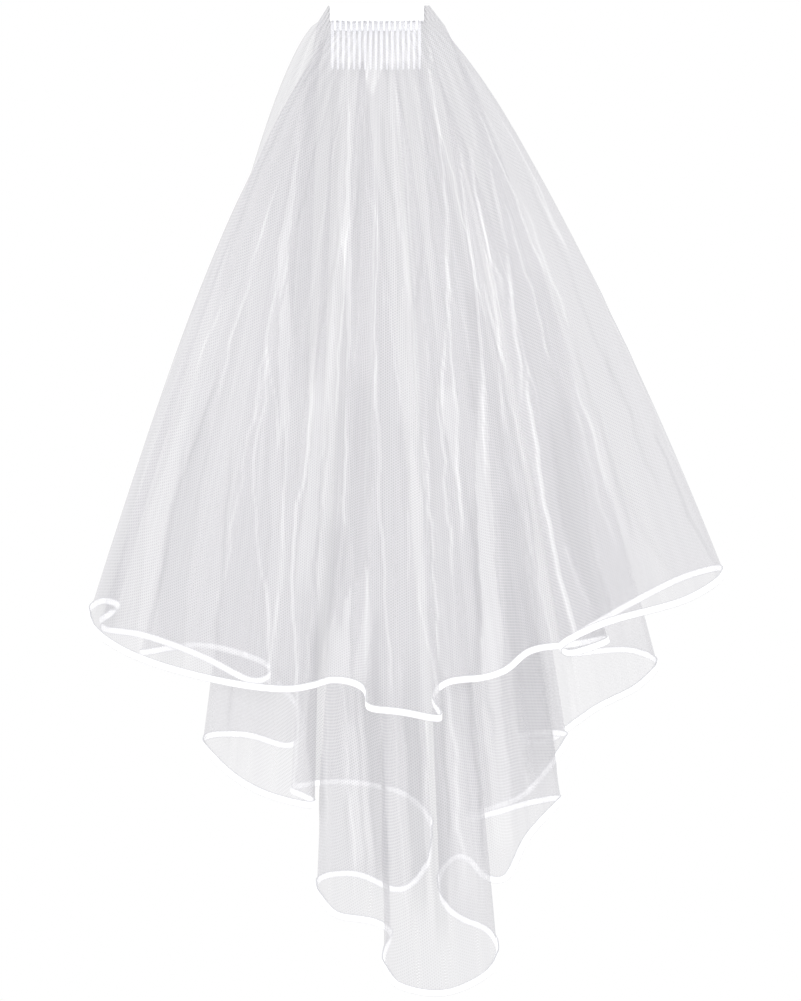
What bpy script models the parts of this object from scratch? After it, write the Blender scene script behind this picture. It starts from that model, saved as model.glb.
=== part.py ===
"""A two-tier bridal veil: sheer tulle gathered onto a hair comb, with ribbon along both hems.

It hangs from its comb. Metres, +Z up. The world origin is the middle of the comb's spine, +X is
to the right as the veil is seen from the comb's side, and +Y goes from the comb back through the
upper tier and then the lower tier.
"""
import math
from collections import namedtuple

import bmesh
import bpy
from mathutils import Vector

MM = 0.001

# Cloth
TULLE_THICKNESS = 1.0 * MM
SEAM_GAP = 0.3 * MM
RIBBON_THICKNESS = 1.0 * MM
RIBBON_WIDTH = 6.0 * MM

# Gathered head: the tiers' tops stand side by side inside the band
BAND_LEFT, BAND_RIGHT = -41.5 * MM, 43.0 * MM
BAND_BOTTOM = 2.0 * MM
BAND_HEIGHT = 16.2 * MM
BAND_THICKNESS = 1.2 * MM
GATHERED_TOP_LEFT, GATHERED_TOP_RIGHT = -43.0 * MM, 48.0 * MM
GATHERED_FOOT_LEFT, GATHERED_FOOT_RIGHT = -50.0 * MM, 58.0 * MM
GATHER_WAVES = 17
GATHER_DEPTH = 0.7 * MM
LAYER_STEP = 2.0 * GATHER_DEPTH + TULLE_THICKNESS + SEAM_GAP
HEAD_CURVE = 2.2     # how far the head's ends come forward, per metre of half width squared

# Fall of the cloth from the band to the hems
SPREAD_POWER = 0.82
BELLY = 0.09         # how much wider stiff net stands part way down
BELLY_POWER = 0.8
DEPTH_POWER = 0.66
FOLDS_DEEP = 0.22    # the share of the fall by which the folds are as deep as at the hem
EDGES_CROWDED = 0.5  # how much more cloth hangs toward a tier's edges than in its middle
FOLDS_PARTED = 0.62   # the share of the fall by which they lie over each other as at the hem

# Rows of the wall's grid below the band: how far down each is, and how many more rounding passes
# it has than the row below it, because the hem's small folds die out upward.
Row = namedtuple("Row", "step rounding")
FALL_ROWS = (Row(0.02, 0), Row(0.08, 200), Row(0.14, 150), Row(0.2, 100), Row(0.28, 80),
             Row(0.42, 60), Row(0.68, 20))

# Hem line: how finely it is drawn, how much its turns are rounded, and where the columns of the
# wall's grid go, closer together where the hem turns
HEM_STEP = 1.5 * MM
ROUNDING_PASSES = 24
COLUMN_SPACING = 20.0 * MM
COLUMN_TURN = math.radians(28.0)
STEEPEST_HEM = 0.4   # the least share of the hem's run that counts as level
SHARPEST_MITRE = 0.75

# Comb
COMB_WIDTH = 81.0 * MM
COMB_THICKNESS = 1.6 * MM
COMB_TOP = 1.6 * MM
SPINE_HEIGHT = 7.0 * MM
TOOTH_COUNT = 17
TOOTH_ROOT, TOOTH_TIP = 2.7 * MM, 1.5 * MM
TOOTH_LENGTH = 36.0 * MM
COMB_LEAN = 0.045    # how far the teeth lean forward, per metre of drop
COMB_TO_GATHERS = 4.9 * MM + COMB_THICKNESS / 2.0

# A row for each turn of a hem, from its left edge to its right edge, in millimetres: across to
# the right, up from the comb's spine, and back from the line where the tier is gathered.
Fold = namedtuple("Fold", "place across up back")

UPPER_HEM = (
    Fold("left edge", -216, -571, 53),
    Fold("left inner pleat", -156, -564, 51),
    Fold("left inner turn", -97, -584, 45),
    Fold("left inner turn, front", -98, -593, 36),
    Fold("left middle pleat", -112, -596, 32),
    Fold("left middle pleat, half way", -159, -573, 28),
    Fold("left middle pleat, end", -214, -553, 22),
    Fold("left hook, outer turn", -250, -547, 19),
    Fold("left hook, outer turn, front", -251, -541, 11),
    Fold("left hook, inner turn", -233, -530, 8),
    Fold("left hook, inner turn, front", -233, -525, 2),
    Fold("left hook, end", -247, -521, 0),
    Fold("left tip, rear", -259, -530, -5),
    Fold("left tip, front", -257, -544, -17),
    Fold("left front pleat", -225, -567, -20),
    Fold("left front pleat, half way", -145, -592, -22),
    Fold("left front pleat, end", -77, -601, -12),
    Fold("rear panel", -37, -594, 18),
    Fold("rear panel, end", -18, -598, 22),
    Fold("front flute, left turn", -9, -607, 10),
    Fold("front flute, left side", -9, -617, -6),
    Fold("front flute", 22, -621, -18),
    Fold("front flute, right turn", 60, -627, -12),
    Fold("front flute, tuck", 50, -611, 8),
    Fold("right rear panel", 63, -597, 24),
    Fold("right rear panel, third", 103, -591, 34),
    Fold("right rear panel, two thirds", 140, -575, 40),
    Fold("right rear panel, end", 181, -563, 50),
    Fold("right inner turn, rear", 212, -557, 51),
    Fold("right inner turn, front", 213, -559, 42),
    Fold("right inner pleat", 175, -571, 39),
    Fold("right low turn", 167, -564, 20),
    Fold("right front pleat", 203, -543, -4),
    Fold("right front pleat, end", 282, -511, -16),
    Fold("right tip, front", 312, -495, -12),
    Fold("right tip, rear", 314, -492, 0),
    Fold("right outer pleat", 283, -499, 8),
    Fold("right outer pleat, half way", 238, -521, 15),
    Fold("right edge", 183, -553, 24),
)

LOWER_HEM = (
    Fold("left edge", -94, -599, 108),
    Fold("left edge turn", -68, -633, 108),
    Fold("left edge turn, front", -67, -649, 102),
    Fold("left rear pleat", -80, -659, 96),
    Fold("left rear pleat, half way", -121, -648, 89),
    Fold("left tip, rear", -158, -649, 81),
    Fold("left tip, front", -161, -655, 70),
    Fold("left front pleat", -134, -683, 61),
    Fold("left front pleat, half way", -102, -701, 60),
    Fold("left front turn", -58, -711, 60),
    Fold("left front turn, rear", -57, -708, 66),
    Fold("left small tuck", -78, -699, 74),
    Fold("left small tuck, rear", -79, -697, 82),
    Fold("middle rear pleat", -48, -692, 90),
    Fold("middle rear pleat, half way", -6, -695, 98),
    Fold("middle rear pleat, end", 31, -707, 99),
    Fold("middle cascade, turn", 52, -734, 98),
    Fold("middle cascade, turn, front", 53, -757, 92),
    Fold("middle cascade, low", 44, -777, 89),
    Fold("middle cascade, foot", 21, -792, 87),
    Fold("middle cascade, left", -20, -776, 84),
    Fold("middle tip, rear", -54, -781, 80),
    Fold("middle tip, front", -55, -792, 70),
    Fold("middle front pleat", -41, -811, 67),
    Fold("middle front pleat, half way", -1, -819, 67),
    Fold("middle front turn", 15, -830, 63),
    Fold("lowest flute, left turn", 9, -848, 51),
    Fold("lowest flute, left side", 22, -869, 47),
    Fold("lowest flute", 55, -882, 45),
    Fold("lowest flute, right side", 86, -874, 47),
    Fold("lowest flute, right turn", 110, -857, 51),
    Fold("lowest flute, right turn, rear", 112, -841, 58),
    Fold("lowest flute, rear", 102, -826, 63),
    Fold("rear cascade", 75, -808, 65),
    Fold("rear cascade, left turn", 62, -790, 68),
    Fold("rear cascade, left turn, rear", 62, -771, 77),
    Fold("rear cascade, top", 79, -758, 81),
    Fold("right small flute", 99, -780, 84),
    Fold("right small flute, side", 123, -780, 86),
    Fold("right small flute, end", 137, -747, 88),
    Fold("right low tip", 171, -709, 91),
    Fold("right low tip, rear", 172, -707, 98),
    Fold("right low pleat", 147, -711, 102),
    Fold("right low turn", 92, -727, 109),
    Fold("right low turn, rear", 90, -725, 118),
    Fold("right cascade", 138, -706, 120),
    Fold("right cascade, end", 178, -656, 122),
    Fold("right cascade, end, rear", 180, -650, 130),
    Fold("right tuck", 134, -652, 139),
    Fold("right tuck, rear", 132, -655, 148),
    Fold("right tuck, end", 157, -659, 150),
    Fold("right front pleat", 209, -625, 147),
    Fold("right front pleat, half way", 246, -606, 145),
    Fold("right tip, front", 264, -589, 149),
    Fold("right tip, rear", 265, -583, 159),
    Fold("right rear pleat", 242, -573, 165),
    Fold("right edge", 180, -577, 174),
)

# How each tier opens from its gathers: before its folds part it spreads evenly towards two places
# at an even height, in millimetres like its folds.
Tier = namedtuple("Tier", "name hem even_left even_right")
UPPER = Tier("upper_tier", UPPER_HEM, Fold("left", -250, -570, 22), Fold("right", 344, -570, 14))
LOWER = Tier("lower_tier", LOWER_HEM, Fold("left", -130, -720, 75), Fold("right", 225, -720, 120))


def clear_scene():
    for scene_object in list(bpy.data.objects):
        bpy.data.objects.remove(scene_object, do_unlink=True)


def material(name, colour, roughness):
    made = bpy.data.materials.new(name)
    made.use_nodes = True
    shader = made.node_tree.nodes["Principled BSDF"]
    shader.inputs["Base Color"].default_value = (*colour, 1.0)
    shader.inputs["Roughness"].default_value = roughness
    shader.inputs["Metallic"].default_value = 0.0
    return made


def add_solid(name, points, faces, finish, parent):
    """One closed solid, its faces turned outward."""
    mesh = bpy.data.meshes.new(name)
    mesh.from_pydata(points, [], faces)
    shape = bmesh.new()
    shape.from_mesh(mesh)
    bmesh.ops.triangulate(shape, faces=shape.faces, quad_method="FIXED")
    bmesh.ops.recalc_face_normals(shape, faces=shape.faces)
    shape.to_mesh(mesh)
    shape.free()
    mesh.materials.append(finish)
    solid = bpy.data.objects.new(name, mesh)
    bpy.context.scene.collection.objects.link(solid)
    solid.parent = parent
    return solid


def blend(start, end, part):
    return start + (end - start) * part


def smooth_step(part):
    part = min(max(part, 0.0), 1.0)
    return part * part * (3.0 - 2.0 * part)


def head_forward(across):
    """The head follows the hair: its ends come forward from its middle."""
    return -HEAD_CURVE * across * across


def through_four(before, start, end, after, part):
    """A point between start and end on the smooth curve through all four points."""
    knots = [0.0]
    for near, far in ((before, start), (start, end), (end, after)):
        knots.append(knots[-1] + math.sqrt((far - near).length))
    k0, k1, k2, k3 = knots
    k = blend(k1, k2, part)
    a1 = blend(before, start, (k - k0) / (k1 - k0))
    a2 = blend(start, end, (k - k1) / (k2 - k1))
    a3 = blend(end, after, (k - k2) / (k3 - k2))
    b1 = blend(a1, a2, (k - k0) / (k2 - k0))
    b2 = blend(a2, a3, (k - k1) / (k3 - k1))
    return blend(b1, b2, (k - k1) / (k2 - k1))


def rounded(line, passes):
    """The line with its turns rounded, as stiff net rounds them; its ends stay."""
    for _ in range(passes):
        inner = [(left + middle * 2.0 + right) / 4.0
                 for left, middle, right in zip(line, line[1:], line[2:])]
        line = [line[0]] + inner + [line[-1]]
    return line


def hem_point(fold):
    return Vector((fold.across, fold.back, fold.up)) * MM


def hem_line(folds):
    """The hem as a fine line through its folds."""
    turns = [hem_point(fold) for fold in folds]
    ends = [turns[0] * 2.0 - turns[1]] + turns + [turns[-1] * 2.0 - turns[-2]]
    line = []
    for before, start, end, after in zip(ends, ends[1:], ends[2:], ends[3:]):
        pieces = max(2, round((end - start).xy.length / HEM_STEP))
        line.extend(through_four(before, start, end, after, i / pieces) for i in range(pieces))
    line.append(turns[-1])
    return rounded(line, ROUNDING_PASSES)


def column_places(line):
    """Which points of the hem start a column of the grid, and how far along the cloth each lies."""
    total = sum((end - start).length for start, end in zip(line, line[1:]))
    places = [(0, 0.0)]
    reach, since, turned = 0.0, 0.0, 0.0
    for i in range(1, len(line) - 1):
        stride = line[i] - line[i - 1]
        reach += stride.length
        since += stride.length
        turned += stride.xy.angle((line[i + 1] - line[i]).xy)
        if since >= COLUMN_SPACING or turned >= COLUMN_TURN:
            places.append((i, reach / total))
            since, turned = 0.0, 0.0
    places.append((len(line) - 1, 1.0))
    return places


def gathered_point(share, layer_back, height):
    """A point of the gathered top, at the band's head (height 1) or at its foot (height 0)."""
    left = blend(GATHERED_FOOT_LEFT, GATHERED_TOP_LEFT, height)
    right = blend(GATHERED_FOOT_RIGHT, GATHERED_TOP_RIGHT, height)
    across = blend(left, right, share)
    wave = GATHER_DEPTH * math.sin(2.0 * math.pi * GATHER_WAVES * share)
    top = BAND_BOTTOM + BAND_HEIGHT - BAND_THICKNESS - SEAM_GAP
    return Vector((across, layer_back + wave + head_forward(across), blend(BAND_BOTTOM, top, height)))


def falling_point(tier, layer_back, share, low, step):
    """A point of the cloth between the band's foot (step 0) and the hem (step 1)."""
    high = gathered_point(share, layer_back, 0.0)
    flat_back = layer_back + head_forward(high.x)
    wave = (high.y - flat_back) * max(0.0, 1.0 - step / FALL_ROWS[0].step)
    crowded = blend(share, smooth_step(share), EDGES_CROWDED)
    even = blend(hem_point(tier.even_left), hem_point(tier.even_right), crowded)
    parted = smooth_step(step / FOLDS_PARTED)
    deep = smooth_step(step / FOLDS_DEEP)
    wider = 1.0 + BELLY * math.sin(math.pi * step ** BELLY_POWER) ** 2
    return Vector((blend(high.x, blend(even.x, low.x, parted), step ** SPREAD_POWER) * wider,
                   blend(flat_back, layer_back + blend(even.y, low.y, deep), step ** DEPTH_POWER) + wave,
                   blend(high.z, blend(even.z, low.z, parted), step)))


def tier_grid(tier, layer_back):
    """Rows of points down the middle of a tier's wall, from its gathered top to its hem.

    The last two rows are the upper and the lower edge of the hem's ribbon.
    """
    hem = hem_line(tier.hem)
    places = column_places(hem)
    columns = range(len(places))

    def fall(line, steps):
        return [falling_point(tier, layer_back, share, line[i], step)
                for (i, share), step in zip(places, steps)]

    hem_row = fall(hem, [1.0 for column in columns])
    ribbon_edges = [1.0 - RIBBON_WIDTH / level_share(hem_row, column) / (BAND_BOTTOM - hem_row[column].z)
                    for column in columns]
    rows = [hem_row, fall(hem, ribbon_edges)]
    line = hem
    for row in reversed(FALL_ROWS):
        line = rounded(line, row.rounding)
        rows.append(fall(line, [row.step] * len(places)))
    for height in (0.0, 1.0):
        rows.append([gathered_point(share, layer_back, height) for i, share in places])
    rows.reverse()
    return rows


def level_share(row, column):
    """How level a row runs at a column: 1 where it is level, less where it climbs."""
    stride = row[min(column + 1, len(row) - 1)] - row[max(column - 1, 0)]
    return max(math.hypot(stride.x, stride.y) / stride.length, STEEPEST_HEM)


def outward(rows, row, column):
    """How far a point of the grid moves for each unit of wall, toward the comb for cloth that
    runs right, so that both of the spans beside it keep their whole thickness."""
    here = rows[row]
    left, middle, right = here[max(column - 1, 0)], here[column], here[min(column + 1, len(here) - 1)]
    fall = rows[min(row + 1, len(rows) - 1)][column] - rows[max(row - 1, 0)][column]
    spans = [end - start for start, end in ((left, middle), (middle, right)) if end != start]
    level = [(span - fall * (span.z / fall.z)).normalized() for span in spans]
    along = (level[0] + level[-1]).normalized()
    return along.cross(fall).normalized() / max(along.dot(level[0]), SHARPEST_MITRE)


def wall(rows, thickness):
    """Points and faces of a closed wall around a grid of points."""
    height, width = len(rows), len(rows[0])
    points = []
    for side in (0.5, -0.5):
        for row in range(height):
            for column in range(width):
                points.append(rows[row][column] + outward(rows, row, column) * (thickness * side))

    def place(side, row, column):
        return (side * height + row) * width + column

    faces = []
    for row in range(height - 1):
        for column in range(width - 1):
            for side in (0, 1):
                faces.append((place(side, row, column), place(side, row + 1, column),
                              place(side, row + 1, column + 1), place(side, row, column + 1)))
    for column in range(width - 1):
        for row in (0, height - 1):
            faces.append((place(0, row, column), place(0, row, column + 1),
                          place(1, row, column + 1), place(1, row, column)))
    for row in range(height - 1):
        for column in (0, width - 1):
            faces.append((place(0, row, column), place(0, row + 1, column),
                          place(1, row + 1, column), place(1, row, column)))
    return points, faces


def swept(rings):
    """Points and faces of a closed strip folded in a U, through its rings of eight corners.

    The corners go from the outer face's free edge around the fold, and back along the inner face.
    """
    size = len(rings[0])
    points = [point for ring in rings for point in ring]
    faces = []
    for start in (0, len(points) - size):
        for corners in ((0, 1, 6, 7), (1, 2, 5, 6), (2, 3, 4, 5)):
            faces.append(tuple(start + corner for corner in corners))
    for ring in range(len(rings) - 1):
        for edge, fold in ((0, 1), (1, 2), (3, 2), (4, 3), (4, 5), (6, 5), (7, 6), (0, 7)):
            here, following = ring * size, (ring + 1) * size
            faces.append((here + edge, here + fold, following + fold, following + edge))
    return points, faces


def add_tier(tier, layer_back, finish, parent):
    rows = tier_grid(tier, layer_back)
    add_solid(tier.name, *wall(rows, TULLE_THICKNESS), finish, parent)
    return rows


def add_hem_ribbon(name, rows, finish, parent):
    """Ribbon folded over the hem, made from the wall's own points moved out."""
    inner = TULLE_THICKNESS / 2.0 + SEAM_GAP
    outer = inner + RIBBON_THICKNESS
    last = len(rows) - 1
    rings = []
    for column, (edge, hem_point) in enumerate(zip(rows[last - 1], rows[last])):
        edge_out, hem_out = outward(rows, last - 1, column), outward(rows, last, column)
        down = (hem_point - edge).normalized() / level_share(rows[last], column)
        inside = hem_point + down * SEAM_GAP
        under = inside + down * RIBBON_THICKNESS
        rings.append((edge + edge_out * outer, under + hem_out * outer,
                      under - hem_out * outer, edge - edge_out * outer,
                      edge - edge_out * inner, inside - hem_out * inner,
                      inside + hem_out * inner, edge + edge_out * inner))
    add_solid(name, *swept(rings), finish, parent)


def add_head_band(gather_line, finish, parent):
    """Satin band folded down over the gathered tops of both tiers."""
    half_depth = LAYER_STEP / 2.0 + GATHER_DEPTH + TULLE_THICKNESS / 2.0
    inner, outer = half_depth + SEAM_GAP, half_depth + SEAM_GAP + BAND_THICKNESS
    top = BAND_BOTTOM + BAND_HEIGHT
    roof = top - BAND_THICKNESS
    section = ((-outer, BAND_BOTTOM), (-outer, top), (outer, top), (outer, BAND_BOTTOM),
               (inner, BAND_BOTTOM), (inner, roof), (-inner, roof), (-inner, BAND_BOTTOM))
    spans = 14
    rings = []
    for i in range(spans + 1):
        across = blend(BAND_LEFT, BAND_RIGHT, i / spans)
        middle = gather_line + head_forward(across)
        rings.append([Vector((across, middle + back, up)) for back, up in section])
    add_solid("head_band", *swept(rings), finish, parent)


def add_comb(finish, parent):
    """A curved spine with a row of tapering teeth, in one piece."""
    pitch = (COMB_WIDTH - TOOTH_ROOT) / (TOOTH_COUNT - 1)
    root = COMB_TOP - SPINE_HEIGHT
    tip = root - TOOTH_LENGTH
    shoulder = tip + 2.0 * TOOTH_TIP
    levels = ((COMB_TOP, TOOTH_ROOT), (root, TOOTH_ROOT), (shoulder, TOOTH_TIP), (tip, TOOTH_TIP * 0.4))
    points = []
    for tooth in range(TOOTH_COUNT):
        middle = -COMB_WIDTH / 2.0 + TOOTH_ROOT / 2.0 + tooth * pitch
        for up, width in levels:
            for side in (-0.5, 0.5):
                across = middle + side * width
                lean = head_forward(across) + COMB_LEAN * min(up, 0.0)
                for face in (-0.5, 0.5):
                    points.append(Vector((across, lean + face * COMB_THICKNESS, up)))

    def corner(tooth, level, side, face):
        return ((tooth * len(levels) + level) * 2 + side) * 2 + face

    faces = []
    last_level = len(levels) - 1
    for tooth in range(TOOTH_COUNT):
        for level in range(last_level):
            for face in (0, 1):
                faces.append((corner(tooth, level, 0, face), corner(tooth, level + 1, 0, face),
                              corner(tooth, level + 1, 1, face), corner(tooth, level, 1, face)))
            for side in (0, 1):
                hidden = level == 0 and 0 < tooth + side < TOOTH_COUNT
                if not hidden:
                    faces.append((corner(tooth, level, side, 0), corner(tooth, level + 1, side, 0),
                                  corner(tooth, level + 1, side, 1), corner(tooth, level, side, 1)))
        for level in (0, last_level):
            faces.append((corner(tooth, level, 0, 0), corner(tooth, level, 1, 0),
                          corner(tooth, level, 1, 1), corner(tooth, level, 0, 1)))
    for tooth in range(TOOTH_COUNT - 1):
        for face in (0, 1):
            faces.append((corner(tooth, 0, 1, face), corner(tooth, 1, 1, face),
                          corner(tooth + 1, 1, 0, face), corner(tooth + 1, 0, 0, face)))
        for level in (0, 1):
            faces.append((corner(tooth, level, 1, 0), corner(tooth + 1, level, 0, 0),
                          corner(tooth + 1, level, 0, 1), corner(tooth, level, 1, 1)))
    add_solid("comb", points, faces, finish, parent)


def build_veil():
    clear_scene()
    veil = bpy.data.objects.new("veil", None)
    bpy.context.scene.collection.objects.link(veil)

    tulle = material("tulle", (0.80, 0.80, 0.82), 0.8)
    satin = material("satin", (0.93, 0.93, 0.93), 0.35)
    plastic = material("comb_plastic", (0.88, 0.89, 0.90), 0.2)

    gather_line = COMB_TO_GATHERS
    upper = add_tier(UPPER, gather_line - LAYER_STEP / 2.0, tulle, veil)
    lower = add_tier(LOWER, gather_line + LAYER_STEP / 2.0, tulle, veil)
    add_hem_ribbon("upper_ribbon", upper, satin, veil)
    add_hem_ribbon("lower_ribbon", lower, satin, veil)
    add_head_band(gather_line, satin, veil)
    add_comb(plastic, veil)


build_veil()
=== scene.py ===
import math

import bpy
import numpy as np
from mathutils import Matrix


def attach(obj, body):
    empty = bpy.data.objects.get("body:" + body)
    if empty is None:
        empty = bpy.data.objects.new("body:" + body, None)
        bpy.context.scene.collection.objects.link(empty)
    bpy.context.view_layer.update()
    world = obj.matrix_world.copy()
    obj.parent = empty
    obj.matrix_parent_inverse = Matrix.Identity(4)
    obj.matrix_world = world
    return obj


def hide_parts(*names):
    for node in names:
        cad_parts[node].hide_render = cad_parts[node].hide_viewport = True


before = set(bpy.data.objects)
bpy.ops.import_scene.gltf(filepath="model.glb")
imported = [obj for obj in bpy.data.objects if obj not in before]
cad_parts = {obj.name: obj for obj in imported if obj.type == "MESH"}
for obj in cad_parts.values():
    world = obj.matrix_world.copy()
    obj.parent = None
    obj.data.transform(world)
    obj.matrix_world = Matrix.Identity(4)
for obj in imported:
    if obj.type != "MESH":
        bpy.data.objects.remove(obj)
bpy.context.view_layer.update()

mm = 0.001


def between(start, end, part):
    return start + (end - start) * part


def easeInOut(part):
    part = np.clip(part, 0.0, 1.0)
    return part * part * (3.0 - 2.0 * part)


def cumulativeLength(line):
    strides = np.linalg.norm(np.diff(line, axis=0), axis=1)
    return np.concatenate(([0.0], np.cumsum(strides)))


def addCornerMap(mesh, name, values):
    # values is points x 2, and every corner of the mesh takes its own point's pair
    layer = mesh.uv_layers.new(name=name)
    corners = np.empty(len(mesh.loops), dtype=np.int32)
    mesh.loops.foreach_get("vertex_index", corners)
    layer.data.foreach_set("uv", values[corners].astype(np.float32).ravel())


def addPointValue(mesh, name, values):
    layer = mesh.attributes.new(name=name, type="FLOAT", domain="POINT")
    layer.data.foreach_set("value", values.astype(np.float32).ravel())


def gridFaces(grid):
    # grid is rows x columns of points, and a face joins each four neighbours
    corners = (grid[:-1, :-1], grid[1:, :-1], grid[1:, 1:], grid[:-1, 1:])
    return np.stack(corners, axis=-1).reshape(-1, 4).tolist()


def skinMesh(name, points, faces, maps=()):
    mesh = bpy.data.meshes.new(name)
    mesh.from_pydata(points.tolist(), [], faces)
    mesh.validate()
    mesh.polygons.foreach_set("use_smooth", [True] * len(mesh.polygons))
    mesh.update()
    for mapName, values in dict(maps).items():
        addCornerMap(mesh, mapName, values.reshape(-1, 2))
    piece = bpy.data.objects.new(name, mesh)
    bpy.context.scene.collection.objects.link(piece)
    return piece


def settle(piece, slot, finish, *replaced):
    # every piece is fixed to the one body, and stands for its CAD node
    piece.data.materials.append(finish)
    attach(piece, "root")
    if replaced:
        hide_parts(*replaced)
    return piece


# how the cloth falls: as in the solids, but it opens out a little sooner below the comb
head = {
    "topLeft": -43.0 * mm, "topRight": 48.0 * mm,      # gathered top inside the band
    "footLeft": -52.0 * mm, "footRight": 59.0 * mm,    # gathered cloth at the band's foot
    "footUp": 2.0 * mm, "topUp": 16.7 * mm,
    "curve": 2.2,                                      # ends come forward, per metre of half width squared
    "line": 5.7 * mm,                                  # where the gathers lie behind the comb
    "layerStep": 2.7 * mm,                             # from one tier's gathers to the other's
}

fall = {
    "spreadLeft": 0.675, "spreadRight": 0.745,         # how soon the cloth opens out at its two sides,
    "depthPower": 0.66, "foldsDeep": 0.22,             # and backward; folds are at full depth past this step
    "roundedSteps": (0.0, 0.08, 0.14, 0.2, 0.28, 0.42, 0.68, 1.0),   # small folds die out upward:
    "roundedPasses": (260, 200, 140, 90, 60, 30, 8, 0),              # rounding passes at each step
    "rowSpacing": 1.15,                                # rows are a little closer toward the comb
    "hemStep": 1.5 * mm, "hemRounding": 24,
}


def throughFour(before, start, end, after, part):
    # a point between start and end on the smooth curve through all four
    knots = [0.0]
    for near, far in ((before, start), (start, end), (end, after)):
        knots.append(knots[-1] + math.sqrt(np.linalg.norm(far - near)))
    k0, k1, k2, k3 = knots
    k = between(k1, k2, part)
    a1 = between(before, start, (k - k0) / (k1 - k0))
    a2 = between(start, end, (k - k1) / (k2 - k1))
    a3 = between(end, after, (k - k2) / (k3 - k2))
    b1 = between(a1, a2, (k - k0) / (k2 - k0))
    b2 = between(a2, a3, (k - k1) / (k3 - k1))
    return between(b1, b2, (k - k1) / (k2 - k1))


def rounded(line, passes):
    line = line.copy()
    for _ in range(passes):
        line[1:-1] = (line[:-2] + line[1:-1] * 2.0 + line[2:]) / 4.0
    return line


def hemLine(hem):
    # hem rows are across, up, back in millimetres
    turns = [np.array((across, back, up)) * mm for across, up, back in hem]
    ends = [turns[0] * 2.0 - turns[1]] + turns + [turns[-1] * 2.0 - turns[-2]]
    line = []
    for before, start, end, after in zip(ends, ends[1:], ends[2:], ends[3:]):
        pieces = max(2, round(np.linalg.norm((end - start)[:2]) / fall["hemStep"]))
        line.extend(throughFour(before, start, end, after, i / pieces) for i in range(pieces))
    line.append(turns[-1])
    return rounded(np.array(line), fall["hemRounding"])


def gatheredPoints(shares, layerBack, height):
    # the gathered top, at the band's head (height 1) or foot (height 0)
    left = between(head["footLeft"], head["topLeft"], height)
    right = between(head["footRight"], head["topRight"], height)
    across = between(left, right, shares)
    back = layerBack - head["curve"] * across ** 2
    up = np.full_like(across, between(head["footUp"], head["topUp"], height))
    return np.stack((across, back, up), axis=-1)


def fallingPoints(tier, low, shares, step):
    # the cloth between the band's foot (step 0) and the hem (step 1)
    high = gatheredPoints(shares, tier["layerBack"], 0.0)
    evenBack = between(tier["evenBack"][0], tier["evenBack"][1], shares)
    deep = easeInOut(step / fall["foldsDeep"])
    spread = step ** between(fall["spreadLeft"], fall["spreadRight"], shares)
    across = between(high[:, 0], low[:, 0], spread)
    hungBack = tier["layerBack"] + between(evenBack, low[:, 1], deep)
    back = between(high[:, 1], hungBack, step ** fall["depthPower"])
    up = between(high[:, 2], low[:, 2], step)
    return np.stack((across, back, up), axis=-1)


# the two tiers. evenBack is how far back the cloth hangs at its left and right before its folds deepen.
# tips are the hem's two tips, and hem has a row for each turn: across, up from the comb, back, in mm.
# a short note there goes on from the fold that was named last
upperTier = {
    "name": "upper", "layerBack": head["line"] - head["layerStep"] / 2.0,
    "evenBack": (22 * mm, 14 * mm), "tips": ((-257, -544, -17), (312, -500, -12)),
    "columnStep": 1.3 * mm, "rows": 74, "seed": 11,
    "hem": (
        (-216, -571, 53),  # left edge
        (-156, -564, 51),  # left inner pleat
        (-97, -584, 45),  # left inner turn
        (-98, -593, 36),  # front
        (-112, -596, 32),  # left middle pleat
        (-159, -573, 28),  # half way
        (-214, -553, 22),  # end
        (-250, -547, 19),  # left hook, outer turn
        (-251, -541, 11),  # outer turn, front
        (-233, -530, 8),  # inner turn
        (-233, -525, 2),  # inner turn, front
        (-247, -521, 0),  # end
        (-259, -530, -5),  # left tip, rear
        (-257, -544, -17),  # front
        (-225, -567, -20),  # left front pleat
        (-145, -592, -22),  # half way
        (-77, -601, -12),  # end
        (-37, -594, 18),  # rear panel
        (-18, -598, 22),  # end
        (-9, -607, 10),  # front flute, left turn
        (-9, -617, -6),  # left side
        (22, -621, -18),  # front flute
        (60, -627, -12),  # right turn
        (50, -611, 8),  # tuck
        (63, -597, 24),  # right rear panel
        (103, -592, 34),  # third
        (121, -585, 37),  # half way
        (138, -569, 40),  # two thirds
        (181, -563, 50),  # end
        (212, -557, 51),  # right inner turn, rear
        (213, -559, 42),  # front
        (175, -571, 39),  # right inner pleat
        (167, -564, 20),  # right low turn
        (203, -543, -4),  # right front pleat
        (282, -519, -16),  # end
        (312, -500, -12),  # right tip, front
        (314, -492, 0),  # rear
        (283, -499, 8),  # right outer pleat
        (238, -521, 15),  # half way
        (183, -553, 24),  # right edge
    ),
}

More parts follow.
